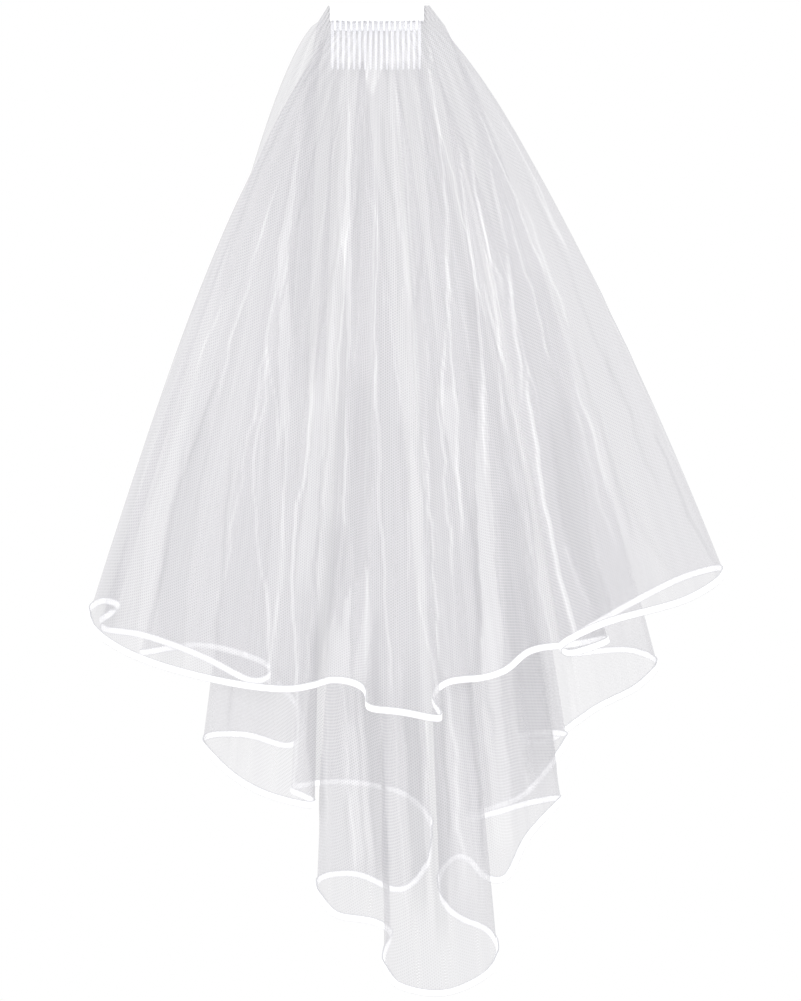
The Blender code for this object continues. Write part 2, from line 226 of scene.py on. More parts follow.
lowerTier = {
    "name": "lower", "layerBack": head["line"] + head["layerStep"] / 2.0,
    "evenBack": (75 * mm, 120 * mm), "tips": ((-161, -655, 70), (264, -589, 149)),
    "columnStep": 1.9 * mm, "rows": 90, "seed": 23,
    "hem": (
        (-94, -599, 108),  # left edge
        (-68, -633, 108),  # left edge turn
        (-67, -649, 102),  # front
        (-80, -659, 96),  # left rear pleat
        (-121, -648, 89),  # half way
        (-158, -649, 81),  # left tip, rear
        (-161, -655, 70),  # front
        (-134, -683, 61),  # left front pleat
        (-102, -701, 60),  # half way
        (-58, -711, 60),  # left front turn
        (-57, -708, 66),  # rear
        (-78, -699, 74),  # left small tuck
        (-79, -697, 82),  # rear
        (-48, -692, 90),  # middle rear pleat
        (-6, -695, 98),  # half way
        (31, -707, 99),  # end
        (52, -734, 98),  # middle cascade, turn
        (53, -757, 92),  # turn, front
        (44, -777, 89),  # low
        (21, -792, 87),  # foot
        (-20, -776, 84),  # left
        (-54, -781, 80),  # middle tip, rear
        (-55, -792, 70),  # front
        (-41, -811, 67),  # middle front pleat
        (-1, -819, 67),  # half way
        (15, -830, 63),  # middle front turn
        (5, -849, 52),  # lowest flute, left turn
        (12, -870, 47),  # left side
        (55, -882, 45),  # lowest flute
        (86, -874, 47),  # right side
        (110, -857, 51),  # right turn
        (112, -841, 58),  # right turn, rear
        (102, -826, 63),  # rear
        (74, -814, 65),  # rear cascade
        (56, -796, 68),  # left turn
        (57, -776, 77),  # left turn, rear
        (79, -758, 81),  # top
        (99, -780, 84),  # right small flute
        (123, -780, 86),  # side
        (137, -747, 88),  # end
        (171, -709, 91),  # right low tip
        (172, -707, 98),  # rear
        (147, -711, 102),  # right low pleat
        (85, -728, 109),  # right low turn
        (84, -726, 118),  # rear
        (138, -706, 120),  # right cascade
        (178, -656, 122),  # end
        (180, -650, 130),  # end, rear
        (134, -652, 139),  # right tuck
        (132, -655, 148),  # rear
        (157, -659, 150),  # end
        (209, -625, 147),  # right front pleat
        (246, -606, 145),  # half way
        (264, -589, 149),  # right tip, front
        (265, -583, 159),  # rear
        (242, -573, 165),  # right rear pleat
        (180, -577, 174),  # right edge
    ),
}


# folds in each tier, a row for each: its tone, how far it stands out toward the comb's side in mm, and
# a few places down the cloth (left edge, right edge, up, in mm). Tone above zero is lighter, a painted
# highlight, and below zero darker, painted shade
upperFolds = (
    # the net that is sewn down behind the comb is close, and pale with painted highlight
    (0.66, 0.2, (-41, 41, -4), (-41, 41, -20), (-41, 41, -33)),
    # small fold below the comb, then thin bright lines of painted highlight where the net is creased
    (0.62, 0.6, (-10, 5, -40), (-9, 2, -50), (-7, -3, -58)),
    (0.53, 1.4, (-26, -23, -55), (-26, -22, -158), (-31, -24, -194), (-27, -22, -248), (-29, -26, -338),
     (-30, -27, -428)),
    (0.31, 0.8, (-15, -13, -73), (-11, -8, -113), (-10, -7, -149), (-1, 2, -185), (6, 8, -230)),
    (0.34, 0.8, (9, 12, -248), (14, 17, -284), (20, 22, -334)),
    (0.61, 1.8, (48, 51, -46), (53, 56, -86), (60, 63, -131), (62, 66, -185), (64, 68, -239),
     (62, 65, -275), (59, 62, -329)),
    (0.51, 1.2, (66, 68, -275), (71, 74, -338), (72, 75, -374), (76, 79, -442)),
    (0.53, 1.2, (76, 78, -136), (82, 85, -176), (87, 90, -221), (92, 96, -275), (96, 99, -338),
     (98, 100, -374)),
    (0.51, 1.2, (86, 89, -127), (90, 93, -158), (99, 102, -203), (106, 109, -239), (110, 113, -284),
     (113, 116, -338)),
    (0.49, 1.0, (101, 103, -133), (107, 111, -158), (115, 118, -194), (121, 125, -248), (129, 132, -311)),
    (0.42, 0.8, (91, 93, -167), (102, 105, -212), (113, 116, -230)),
    (0.39, 0.8, (97, 100, -239), (108, 111, -284), (117, 119, -302)),
    (0.41, 1.6, (-72, -68, -118), (-80, -74, -158), (-88, -78, -194), (-88, -77, -230), (-87, -78, -343)),
    (0.39, 1.0, (-92, -90, -239), (-99, -96, -275), (-101, -98, -338), (-109, -106, -374),
     (-112, -109, -419), (-107, -104, -473), (-99, -96, -518), (-96, -93, -590)),
    (0.37, 0.8, (-98, -96, -302), (-91, -88, -347), (-89, -87, -374)),
    (0.51, 1.0, (-58, -55, -338), (-63, -60, -374), (-65, -62, -410), (-73, -70, -437), (-77, -74, -482),
     (-75, -72, -536), (-73, -70, -590)),
    (0.41, 1.2, (-1, 2, -329), (1, 5, -374), (1, 5, -428), (5, 8, -482), (8, 11, -536), (11, 14, -572)),
    (0.26, 0.8, (23, 26, -383), (27, 30, -446), (28, 31, -491)),
    (0.59, 1.6, (136, 139, -338), (143, 147, -383), (151, 155, -437), (160, 164, -482), (172, 177, -527),
     (178, 182, -554)),
    (0.31, 0.8, (143, 145, -469), (149, 152, -509), (158, 161, -554)),
    (0.31, 0.8, (169, 172, -473), (182, 185, -509), (196, 199, -527)),
    (0.29, 0.8, (-36, -34, -428), (-40, -37, -464), (-50, -47, -491), (-58, -55, -518), (-62, -59, -554),
     (-60, -58, -590)),
    (0.29, 0.8, (-82, -80, -365), (-84, -81, -446), (-85, -82, -482), (-90, -87, -536), (-98, -96, -580)),
    (0.26, 0.8, (-225, -222, -338), (-240, -237, -392), (-256, -253, -446)),
    (0.29, 0.6, (128, 130, -518), (136, 138, -572)),
    (0.29, 0.6, (37, 39, -509), (46, 49, -563), (54, 57, -598)),
    (0.24, 0.6, (14, 16, -500), (19, 21, -554), (21, 23, -590)),
    (0.24, 0.6, (66, 68, -420), (69, 71, -500), (70, 72, -580)),
    # broad lighter panels, where the cloth turns to the light
    (0.31, 2.4, (-33, -30, -194), (-40, -36, -239), (-50, -38, -275), (-56, -41, -338), (-60, -43, -410),
     (-70, -47, -464), (-72, -48, -482)),
    (0.36, 2.4, (12, 18, -46), (11, 23, -77), (13, 29, -113), (15, 38, -145), (20, 40, -194),
     (24, 36, -226)),
    (0.31, 2.0, (42, 46, -226), (33, 46, -266), (35, 49, -302), (38, 47, -338), (41, 45, -374),
     (45, 47, -428)),
    (0.29, 1.6, (58, 71, -338), (67, 74, -383), (75, 77, -437)),
    (0.41, 2.6, (91, 101, -347), (91, 105, -410), (90, 107, -446), (93, 109, -482), (96, 112, -518),
     (94, 116, -554), (98, 116, -590)),
    (0.41, 2.2, (-26, -24, -455), (-30, -20, -482), (-35, -22, -518), (-43, -24, -554), (-46, -24, -590)),
    (0.31, 1.6, (-9, -7, -500), (-14, -6, -536), (-19, -8, -563), (-21, -10, -600)),
    (0.22, 2.0, (-97, -85, -374), (-95, -82, -446), (-97, -85, -500), (-102, -89, -536)),
    (0.17, 1.6, (26, 32, -365), (35, 48, -482), (37, 50, -509)),
    (0.19, 2.2, (-113, -96, -186), (-133, -112, -240), (-160, -140, -310), (-185, -166, -380),
     (-206, -186, -440), (-214, -200, -540)),
    (0.14, 2.0, (199, 206, -365), (204, 216, -410), (222, 240, -460), (240, 262, -490)),
    # darker troughs of painted shade between them, and painted shade on the turned edges at both sides
    (-0.50, -0.6, (251, 254, -374), (281, 285, -446), (303, 307, -487)),
    (-0.50, -0.6, (-214, -210, -374), (-234, -230, -446), (-252, -248, -509)),
    (-0.32, -1.6, (-64, -33, -60), (-68, -34, -158), (-77, -35, -230), (-74, -44, -290)),
    (-0.41, -1.2, (80, 91, -248), (83, 91, -290), (84, 93, -338)),
    (-0.46, -2.0, (-24, -3, -338), (-24, -1, -400), (-26, -8, -437), (-32, -6, -482), (-36, -30, -518)),
    (-0.57, -1.6, (-48, -33, -464), (-50, -38, -500), (-56, -45, -540), (-60, -52, -590)),
    (-0.42, -2.4, (113, 131, -437), (114, 140, -482), (117, 146, -527), (121, 150, -568)),
    (-0.54, -1.4, (84, 91, -446), (88, 94, -482), (89, 95, -540), (88, 94, -590)),
    (-0.35, -1.6, (158, 176, -365), (164, 190, -428), (178, 198, -482), (196, 214, -527)),
    (-0.54, -0.8, (-132, -130, -400), (-137, -134, -464), (-144, -140, -545)),
    (-0.46, -0.8, (-176, -173, -400), (-192, -187, -482), (-205, -201, -550)),
    (-0.50, -1.0, (-206, -198, -360), (-232, -216, -428), (-252, -226, -482), (-258, -234, -520)),
    (-0.30, -1.0, (-166, -150, -380), (-182, -160, -440), (-194, -168, -500), (-196, -172, -560)),
    (-0.49, -1.0, (-4, 3, -540), (-3, 5, -610)),
    (-0.35, -1.0, (20, 32, -365), (22, 28, -428)),
    (-0.41, -0.8, (3, 7, -90), (8, 12, -131), (13, 17, -167)),
    (-0.24, -1.2, (142, 156, -240), (158, 170, -310), (172, 184, -370)),
)

lowerFolds = (
    # creases that run on from under the upper tier, crinkled and uneven, lighter with painted highlight
    (0.30, 1.2, (-72, -70, -560), (-74, -72, -640), (-76, -74, -690)),
    (0.26, 1.2, (-34, -32, -560), (-28, -26, -640), (-26, -24, -700), (-20, -18, -770)),
    (0.22, 1.0, (-48, -46, -590), (-46, -44, -650), (-47, -45, -720)),
    (0.24, 1.4, (10, 12, -560), (16, 18, -640), (20, 22, -720), (28, 30, -800)),
    (0.30, 1.6, (42, 44, -560), (44, 47, -640), (45, 48, -690)),
    (0.20, 1.0, (70, 72, -560), (80, 82, -640), (88, 90, -720), (95, 97, -780)),
    (0.20, 0.8, (0, 2, -600), (4, 6, -660), (5, 7, -720)),
    (0.20, 0.8, (128, 130, -600), (134, 136, -650), (138, 140, -690)),
    # lighter panels of painted highlight
    (0.20, 0.6, (-160, -68, -610), (-152, -64, -690), (-140, -60, -720)),
    (0.30, 0.6, (180, 262, -540), (182, 262, -590), (184, 230, -650)),
    (0.26, 1.4, (94, 110, -560), (99, 119, -640), (104, 124, -690), (108, 126, -730)),
    (0.18, 1.4, (-34, -14, -640), (-30, -8, -700), (-24, -4, -750)),
    (0.16, 1.4, (150, 162, -500), (160, 178, -570), (172, 190, -640)),
    (0.14, 1.2, (62, 78, -640), (68, 86, -720), (74, 92, -780)),
    # darker troughs of painted shade
    (-0.50, -1.6, (-14, 2, -600), (-8, 8, -680), (-2, 12, -760)),
    (-0.50, -1.6, (24, 38, -600), (28, 42, -680), (32, 46, -780)),
    (-0.52, -1.6, (46, 60, -600), (49, 66, -700), (51, 68, -760), (53, 64, -800)),
    (-0.34, -1.6, (118, 140, -520), (126, 160, -600), (134, 166, -660)),
    (-0.44, -1.4, (-62, -50, -560), (-64, -50, -640), (-60, -48, -700)),
    (-0.44, -0.8, (-20, -17, -620), (-16, -13, -690), (-12, -9, -760)),
    (-0.40, -0.8, (82, 85, -600), (90, 93, -680), (96, 99, -740)),
)


netFold = {
    "edge": 1.3 * mm, "stand": 5.0 * mm,               # how soft a fold's tone is at its edge, and its shape,
    "softShare": 0.1,                                  # and at least this share of its width
    "endShare": 0.24,                                  # past its ends it fades over this share of its length,
    "endRange": (8.0 * mm, 60.0 * mm),                 # but no less and no more than these
    "toneShare": 0.55,                                 # how strongly the folds' painted highlights and painted shade show
    "flatTone": -0.06,                                 # flat net is a little darker,
    "headTone": -0.12, "headReach": 0.5,               # and more so in the upper part of the drop
    "tipSoft": 0.01,                                   # share of the hem over which folds stop at a tip
    # a fold's course wanders by its crinkle, in a long wave and a shorter, smaller one
    "crinkle": 0.8 * mm, "longWave": 15.0 * mm, "shortWave": 5.3 * mm, "shortShare": 0.5,
}

gather = {
    # close pleats at the comb, dying out below it, with painted highlight where they stand out and painted
    # shade where they sink back
    "count": 34, "depth": 0.6 * mm, "tone": 0.12, "end": 0.3, "toneStart": 0.03,
}

rollingFold = {
    # soft folds between the main ones, mostly gone again near the hem, with faint painted highlight and
    # painted shade
    "count": 15, "depth": 1.8 * mm, "tone": 0.05, "start": 0.25,
    "lost": 0.85, "loseFrom": 0.45, "loseOver": 0.5,
    "sway": 0.006, "swayDown": 7.0, "swayAcross": 11.0,
}

fineCrease = {
    # creases that fan out from the comb by chance and wander as they fall; some are lines of painted
    # highlight, the rest painted shade
    "count": 120, "halfWidth": 1.5 * mm, "widthAtComb": 0.5, "stand": 1.5 * mm, "tone": 0.8,
    "start": (0.0, 0.6), "length": (0.15, 0.5), "fade": 0.08,      # shares of the drop
    "place": (0.02, 0.98), "drift": (-0.01, 0.01),                 # shares of the hem
    "strength": (0.14, 0.42), "lightShare": 0.6,
    "wander": 0.0013, "turns": (22.0, 60.0), "smallTurns": 2.3, "smallWander": 0.6,
}


def foldField(points, places, soft):
    # one inside the fold's two edges, nothing outside them, fading past its ends
    table = np.array(places, dtype=float)[::-1] * mm
    across, up = points[..., 0], points[..., 2]
    longWave = np.sin(up / netFold["longWave"] + places[0][0])
    shortWave = np.sin(up / netFold["shortWave"] + places[0][2])
    across = across + netFold["crinkle"] * (longWave + netFold["shortShare"] * shortWave)
    left, right = (np.interp(up, table[:, 2], table[:, side]) for side in (0, 1))
    softer = np.maximum(soft, netFold["softShare"] * (right - left))
    inside = easeInOut((across - left) / softer + 0.5) * easeInOut((right - across) / softer + 0.5)
    low, high = table[0, 2], table[-1, 2]
    reach = np.clip(netFold["endShare"] * (high - low), *netFold["endRange"])
    return inside * easeInOut((up - low) / reach + 1.0) * easeInOut((high - up) / reach + 1.0)


def hungRows(tier, hem, hemShares, shares):
    # rows from the hem up, rounding the hem's small folds away as they climb
    steps = np.linspace(1.0, 0.0, tier["rows"]) ** fall["rowSpacing"]
    line, done, rows = hem, 0, []
    for step in steps:
        passes = round(np.interp(step, fall["roundedSteps"], fall["roundedPasses"]))
        line = rounded(line, passes - done)
        done = passes
        low = np.stack([np.interp(shares, hemShares, line[:, axis]) for axis in range(3)], axis=-1)
        rows.append(fallingPoints(tier, low, shares, step))
    for height in (0.5, 1.0):
        rows.append(gatheredPoints(shares, tier["layerBack"], height))
    return np.concatenate((steps, (0.0, 0.0)))[::-1], np.array(rows)[::-1]


def betweenTips(tier, hem, hemShares, shares):
    # one on the run of cloth between the two tips, which is the side toward the comb, where folds show
    tips = [np.array((across, back, up)) * mm for across, up, back in tier["tips"]]
    leftTip, rightTip = (hemShares[np.argmin(np.linalg.norm(hem - tip, axis=1))] for tip in tips)
    soft = netFold["tipSoft"]
    return (easeInOut((shares - leftTip) / soft + 0.5) * easeInOut((rightTip - shares) / soft + 0.5))[None, :]


def addFineCreases(raised, tone, lengths, shares, steps, seed):
    # raised and tone are changed in place, here and in addGathers
    chance = np.random.default_rng(seed)
    for _ in range(fineCrease["count"]):
        start = chance.uniform(*fineCrease["start"])
        end = min(start + chance.uniform(*fineCrease["length"]), 1.0)
        centre = chance.uniform(*fineCrease["place"]) + chance.uniform(*fineCrease["drift"]) * steps
        strength = chance.uniform(*fineCrease["strength"])
        # lightShare of the creases get painted highlight, the others painted shade
        strength *= 1.0 if chance.random() < fineCrease["lightShare"] else -1.0
        turns = chance.uniform(*fineCrease["turns"])
        smallTurns = np.sin(fineCrease["smallTurns"] * turns * steps)
        wander = np.sin(turns * steps) + fineCrease["smallWander"] * smallTurns
        centre = centre + fineCrease["wander"] * wander
        middle = np.array([np.interp(centre[row], shares, lengths[row]) for row in range(len(steps))])
        halfWidth = fineCrease["halfWidth"] * (fineCrease["widthAtComb"] + steps[:, None])
        bell = np.exp(-((lengths - middle[:, None]) / halfWidth) ** 2)
        fade = fineCrease["fade"]
        bell *= (easeInOut((steps - start) / fade) * easeInOut((end - steps) / fade))[:, None]
        tone += bell * strength * fineCrease["tone"]
        raised += bell * strength * fineCrease["stand"]


def addGathers(raised, tone, shares, steps, seed):
    # close gathers at the comb turn into fewer, softer folds lower down; their tone is painted highlight
    # where they stand out and painted shade where they sink back
    down = steps[:, None]
    pleats = np.sin(2.0 * math.pi * gather["count"] * shares)[None, :]
    gathers = pleats * easeInOut(1.0 - down / gather["end"])
    raised += gather["depth"] * gathers
    tone += gather["tone"] * gathers * easeInOut(down / gather["toneStart"])
    sway = np.sin(rollingFold["swayDown"] * down + rollingFold["swayAcross"] * shares[None, :] + seed)
    rolls = np.sin(2.0 * math.pi * rollingFold["count"] * (shares[None, :] + rollingFold["sway"] * sway))
    lost = rollingFold["lost"] * easeInOut((down - rollingFold["loseFrom"]) / rollingFold["loseOver"])
    rolls = rolls * easeInOut(down / rollingFold["start"]) * (1.0 - lost)
    raised += rollingFold["depth"] * rolls
    tone += rollingFold["tone"] * rolls


def tulleSheet(tier, folds):
    hem = hemLine(tier["hem"])
    hemShares = cumulativeLength(hem)
    hemLength = hemShares[-1]
    hemShares = hemShares / hemLength
    shares = np.linspace(0.0, 1.0, round(hemLength / tier["columnStep"]) + 1)
    steps, points = hungRows(tier, hem, hemShares, shares)
    normals = np.cross(np.gradient(points, axis=1), np.gradient(points, axis=0))
    normals /= np.maximum(np.linalg.norm(normals, axis=-1, keepdims=True), 1e-12)
    lengths = np.array([cumulativeLength(row) for row in points])

    # raised is how far the net stands toward the comb's side, and tone how light it is; the folds' share of
    # it is painted highlight and painted shade
    facing = betweenTips(tier, hem, hemShares, shares)
    raised = np.zeros(points.shape[:2])
    tone = raised + netFold["flatTone"]
    tone += netFold["headTone"] * easeInOut(1.0 - steps[:, None] / netFold["headReach"])
    for foldTone, out, *places in folds:
        raised += foldField(points, places, netFold["stand"]) * facing * out * mm
        tone += foldField(points, places, netFold["edge"]) * facing * foldTone * netFold["toneShare"]
    addFineCreases(raised, tone, lengths, shares, steps, tier["seed"])
    addGathers(raised, tone, shares, steps, tier["seed"])
    points = points + normals * raised[..., None]

    fallen = -np.broadcast_to(steps[:, None], lengths.shape) * abs(hem[:, 2].mean())
    cut = np.stack((lengths - lengths[:, -1:] / 2.0, fallen), axis=-1)
    hang = np.stack((np.broadcast_to(shares[None, :] * hemLength, lengths.shape), fallen), axis=-1)
    faces = gridFaces(np.arange(lengths.size).reshape(lengths.shape))
    tulle = skinMesh(tier["name"] + "_tulle", points.reshape(-1, 3), faces, {"cut": cut, "hang": hang})
    # foldTone carries the painted highlight and painted shade to the net's colour
    addPointValue(tulle.data, "foldTone", np.clip(0.5 + 0.5 * tone, 0.0, 1.0))
    return tulle, points[-1], points[-2], hemLength


def linear(hexColour):
    # sRGB hex to the linear colour that shaders work in
    parts = [int(hexColour[i:i + 2], 16) / 255.0 for i in (1, 3, 5)]
    curved = [((part + 0.055) / 1.055) ** 2.4 if part > 0.04045 else part / 12.92 for part in parts]
    return curved + [1.0]


def addNode(tree, kind, settings=(), links=()):
    # settings name a node's own property, or an input socket; links give input socket and output
    node = tree.nodes.new(kind)
    for name, value in dict(settings).items():
        if isinstance(name, str) and name in node.bl_rna.properties:
            setattr(node, name, value)
        else:
            node.inputs[name].default_value = value
    for name, output in dict(links).items():
        tree.links.new(output, node.inputs[name])
    return node


def newFinish(name, settings):
    finish = bpy.data.materials.new(name)
    finish.use_nodes = True
    tree = finish.node_tree
    shader = tree.nodes["Principled BSDF"]
    for socket, value in settings.items():
        shader.inputs[socket].default_value = value
    return finish, tree, shader


tulleLook = {
    # white nylon thread lit from all round: layers of net build up to a pale cool grey; folds that turn
    # to the light get a whiter painted highlight, and the troughs between them a little darker painted shade
    "trough": "#8C8C90", "thread": "#B9B8BB", "turned": "#FFFFFF",
    "cell": 2.3 * mm,          # real cells are about 1.2 mm; drawn coarser so that they show in a picture
    "holeCover": 0.41, "threadCover": 0.57,
    "foldCover": 0.22,         # a crease or trough holds more thread than flat net
    "streaks": (90.0, 2.6),    # streaks to a metre, across and down the cloth
    "streakCover": (0.84, 1.16),
}


def bobbinetTulle():
    # nylon bobbinet: a knitted net of hexagons. Its thread gives a pale veil that each layer deepens,
    # its folds give light lines of painted highlight and darker painted shade, and its open cells let the
    # white behind show through
    finish, tree, shader = newFinish("nylon_bobbinet_tulle", {
        "Roughness": 0.75, "IOR": 1.53, "Sheen Weight": 0.08, "Sheen Roughness": 0.5})
    cut = addNode(tree, "ShaderNodeUVMap", {"uv_map": "cut"})
    waves = []
    wave = 4.0 * math.pi / (math.sqrt(3.0) * tulleLook["cell"])
    for angle in (0.0, math.pi / 3.0, math.pi * 2.0 / 3.0):
        way = (wave * math.cos(angle), wave * math.sin(angle), 0.0)
        toward = addNode(tree, "ShaderNodeVectorMath", {"operation": "DOT_PRODUCT", 1: way},
                         {0: cut.outputs["UV"]})
        ripple = addNode(tree, "ShaderNodeMath", {"operation": "COSINE"}, {0: toward.outputs["Value"]})
        waves.append(ripple.outputs[0])
    two = addNode(tree, "ShaderNodeMath", {"operation": "ADD"}, {0: waves[0], 1: waves[1]})
    # the three waves add up to 3 in the middle of a cell, and to -1.5 at the thread's corners
    three = addNode(tree, "ShaderNodeMath", {"operation": "ADD"}, {0: two.outputs[0], 1: waves[2]})
    net = addNode(tree, "ShaderNodeMapRange", {
        "interpolation_type": "SMOOTHSTEP", "From Min": 0.9, "From Max": -1.1,
        "To Min": tulleLook["holeCover"], "To Max": tulleLook["threadCover"]}, {"Value": three.outputs[0]})

    # faint streaks run down the cloth where the net is drawn closer or wider
    hang = addNode(tree, "ShaderNodeUVMap", {"uv_map": "hang"})
    stretch = addNode(tree, "ShaderNodeMapping", {"Scale": (*tulleLook["streaks"], 1.0)},
                      {"Vector": hang.outputs["UV"]})
    streaks = addNode(tree, "ShaderNodeTexNoise", {"Scale": 1.0, "Detail": 3.0, "Roughness": 0.6},
                      {"Vector": stretch.outputs["Vector"]})
    close = addNode(tree, "ShaderNodeMapRange", {
        "From Min": 0.3, "From Max": 0.7,
        "To Min": tulleLook["streakCover"][0], "To Max": tulleLook["streakCover"][1]},
        {"Value": streaks.outputs["Fac"]})
    cover = addNode(tree, "ShaderNodeMath", {"operation": "MULTIPLY"},
                    {0: net.outputs["Result"], 1: close.outputs["Result"]})
    foldTone = addNode(tree, "ShaderNodeAttribute", {"attribute_name": "foldTone"})
    apart = addNode(tree, "ShaderNodeMath", {"operation": "SUBTRACT", 1: 0.5}, {0: foldTone.outputs["Fac"]})
    strength = addNode(tree, "ShaderNodeMath", {"operation": "ABSOLUTE"}, {0: apart.outputs[0]})
    folded = addNode(tree, "ShaderNodeMath", {
        "operation": "MULTIPLY_ADD", 1: tulleLook["foldCover"] * 2.0, "use_clamp": True},
        {0: strength.outputs[0], 2: cover.outputs[0]})
    tree.links.new(folded.outputs[0], shader.inputs["Alpha"])
    # painted light and shade of the folds: the trough colour is painted shade, the turned colour a painted
    # highlight, either side of the thread's grey
    tones = addNode(tree, "ShaderNodeValToRGB", (), {"Fac": foldTone.outputs["Fac"]})
    ramp = tones.color_ramp
    ramp.elements[0].color = linear(tulleLook["trough"])
    ramp.elements[1].color = linear(tulleLook["turned"])
    ramp.elements.new(0.5).color = linear(tulleLook["thread"])
    tree.links.new(tones.outputs["Color"], shader.inputs["Base Color"])
    return finish


satinLook = {
    # face is the satin's own white; the other colour is the grey of painted shade on edges, folds and gathers
    "face": "#FCFCFD", "paintedShade": "#B4B4B8",
    "ribbonRib": 0.5 * mm, "bandRib": 0.6 * mm,        # one radian of a rib, which is about 3 mm wide:
    "ribHeight": 0.2 * mm,                             # coarser and higher than real ones, so that they show
}


def satinWeave(name, rib):
    # polyester satin: long floats over a fine ground give a smooth face with a soft directional sheen
    finish, tree, shader = newFinish(name, {
        "Roughness": 0.42, "IOR": 1.55, "Anisotropic": 0.3, "Sheen Weight": 0.7, "Sheen Roughness": 0.4})
    run = addNode(tree, "ShaderNodeUVMap", {"uv_map": "cut"})
    radiansAtScaleOne = 20.0   # a wave texture turns this far in a metre
    ribs = addNode(tree, "ShaderNodeTexWave", {
        "wave_type": "BANDS", "bands_direction": "Y",
        "Scale": 1.0 / (rib * radiansAtScaleOne), "Distortion": 0.4, "Detail": 1.0},
        {"Vector": run.outputs["UV"]})
    bump = addNode(tree, "ShaderNodeBump", {"Strength": 0.15, "Distance": satinLook["ribHeight"]},
                   {"Height": ribs.outputs["Fac"]})
    tree.links.new(bump.outputs["Normal"], shader.inputs["Normal"])
    # painted shade: the ribbon's woven edges and its pressed fold, and the band's gather hollows and foot,
    # are mixed toward a grey
    paintedShade = addNode(tree, "ShaderNodeAttribute", {"attribute_name": "paintedShade"})
    # a mix node's colours go in at 6 and 7, and come out at 2
    faces = addNode(tree, "ShaderNodeMix", {
        "data_type": "RGBA", 6: linear(satinLook["face"]), 7: linear(satinLook["paintedShade"])},
        {0: paintedShade.outputs["Fac"]})
    tree.links.new(faces.outputs[2], shader.inputs["Base Color"])
    return finish


def sewingThread():
    # spun polyester thread: matt, a little fuzzy, white
    return newFinish("polyester_sewing_thread", {
        "Base Color": linear("#F2F3F5"), "Roughness": 0.7, "IOR": 1.55, "Sheen Weight": 0.3})[0]


def clearPlastic():
    # injection moulded clear plastic: see-through when faced, and glossy; where it turns away a painted
    # reflection makes it whiter and less see-through
    finish, tree, shader = newFinish("moulded_clear_plastic", {
        "Base Color": linear("#E9E9EE"), "Roughness": 0.16, "IOR": 1.49})
    # painted reflection: more of the pale colour shows where the plastic turns away
    facing = addNode(tree, "ShaderNodeLayerWeight", {"Blend": 0.45})
    cover = addNode(tree, "ShaderNodeMapRange", {
        "From Min": 0.0, "From Max": 0.8, "To Min": 0.22, "To Max": 0.8}, {"Value": facing.outputs["Facing"]})
    tree.links.new(cover.outputs["Result"], shader.inputs["Alpha"])
    return finish


netTulle = bobbinetTulle()
ribbonSatin = satinWeave("satin_ribbon_weave", satinLook["ribbonRib"])
bandSatin = satinWeave("satin_band_weave", satinLook["bandRib"])
thread = sewingThread()
plastic = clearPlastic()


def capped(rings):
    # rings is rings x corners x 3: one closed skin along them with flat ends
    count, corners = rings.shape[:2]
    index = np.arange(count * corners).reshape(count, corners)
    around = np.roll(index, -1, axis=1)
    faces = np.stack((index[:-1], around[:-1], around[1:], index[1:]), axis=-1).reshape(-1, 4).tolist()
    faces.append(index[0, ::-1].tolist())
    faces.append(index[-1].tolist())
    return rings.reshape(-1, 3), faces


stitch = {
    "places": np.array((-0.5, -0.3, 0.0, 0.3, 0.5)),    # along a stitch, in shares of its length
    "endTaper": 0.45,                                   # share of its thickness at its ends
}


def joinedTubes(name, paths, radius, sides):
    # each path is points x 3, and becomes a tube whose ends are drawn in
    allPoints, allFaces, start = [], [], 0
    angles = np.linspace(0.0, 2.0 * math.pi, sides, endpoint=False)
    for path in paths:
        along = np.gradient(path, axis=0)
        along /= np.linalg.norm(along, axis=1, keepdims=True)
        guide = np.array((0.0, 1.0, 0.0))
        side = np.cross(along, guide)
        side /= np.maximum(np.linalg.norm(side, axis=1, keepdims=True), 1e-9)
        other = np.cross(along, side)
        taper = np.ones(len(path))
        taper[0] = taper[-1] = stitch["endTaper"]
        around = side[:, None, :] * np.cos(angles)[None, :, None]
        around = around + other[:, None, :] * np.sin(angles)[None, :, None]
        rings = path[:, None, :] + radius * taper[:, None, None] * around
        points, faces = capped(rings)
        allPoints.append(points)
        allFaces.extend([[corner + start for corner in face] for face in faces])
        start += len(points)
    return skinMesh(name, np.concatenate(allPoints), allFaces)


hemRibbon = {
    "width": 6.0 * mm,
    "pucker": 0.25 * mm, "puckerEvery": 11.0 * mm,      # the ribbon draws up a little every few stitches
    "stitchEvery": 3.4 * mm, "stitchLength": 2.2 * mm, "stitchRadius": 0.17 * mm, "stitchSides": 5,
    "stitchUp": 4.9 * mm, "stitchLift": (0.55, 0.95, 1.05, 0.95, 0.55),
    "phases": 60, "phaseRange": 1.5,                    # the puckers' spacing drifts by chance
    "paintedShade": (0.75, 1.0, 0.0),                       # painted shade on its fold, its woven edges and its faces
    "edgeAbove": 5.2,                                   # its woven edges are above this, in mm over the hem
    # half a section of the folded ribbon, from its fold up to its edge: out, up, in mm from the hem
    "section": ((0.0, -0.7), (0.55, -0.45), (0.8, 0.4), (0.85, 2.6), (0.8, 4.6), (0.62, 5.6), (0.3, 5.9)),
}


def hemFrame(hemRow, upperRow):
    # at each hem point: the way up the cloth, square to the hem, and the way out of the cloth
    along = np.gradient(hemRow, axis=0)
    along /= np.linalg.norm(along, axis=1, keepdims=True)
    up = upperRow - hemRow
    up -= along * np.sum(up * along, axis=1, keepdims=True)
    up /= np.linalg.norm(up, axis=1, keepdims=True)
    out = np.cross(along, up)
    out /= np.linalg.norm(out, axis=1, keepdims=True)
    return up, out


